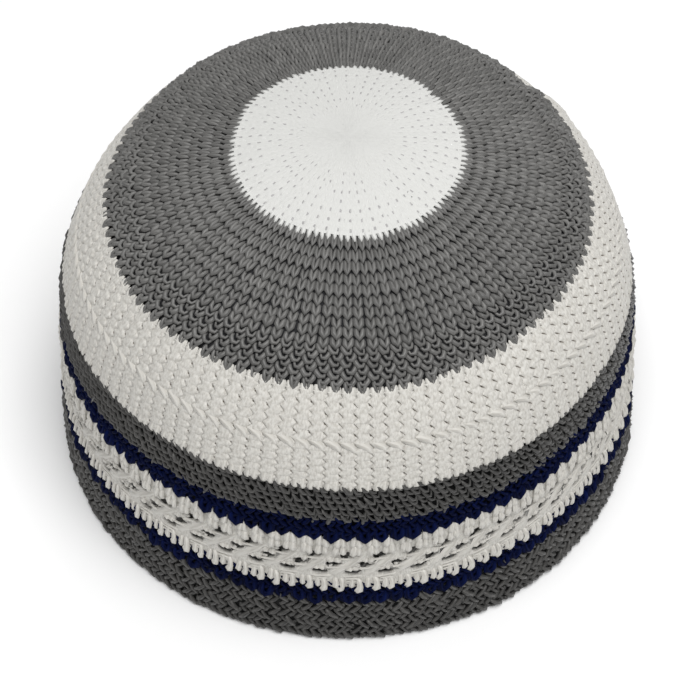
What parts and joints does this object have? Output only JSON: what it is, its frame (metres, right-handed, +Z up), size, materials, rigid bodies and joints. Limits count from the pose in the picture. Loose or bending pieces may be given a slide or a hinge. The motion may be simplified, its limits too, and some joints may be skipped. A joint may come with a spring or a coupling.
{
  "type": "kufi",
  "caption": "Round brimless knitted cap with a flat round top, a sloping crown, striped sides, an openwork band and a folded hem round the rim.",
  "frame": {"origin": "centre of the rim, on the surface that the cap stands on", "axes": "+Z up through the middle of the crown, -Y towards the side shown in front"},
  "size_m": [0.1828, 0.1826, 0.1225],
  "materials": {
    "white_yarn": "smooth white nylon yarn, knitted",
    "grey_yarn": "smooth mid-grey nylon yarn, knitted",
    "dark_grey_yarn": "smooth dark grey nylon yarn, knitted",
    "navy_yarn": "smooth navy nylon yarn, knitted"
  },
  "bodies": {
    "root": {"crown_disc": "white_yarn", "crown_ring": "grey_yarn", "shoulder_band": "white_yarn", "side_band": "dark_grey_yarn", "navy_stripe_upper": "navy_yarn", "openwork_band": "white_yarn", "navy_stripe_lower": "navy_yarn", "hem": "dark_grey_yarn"}
  },
  "joints": []
}
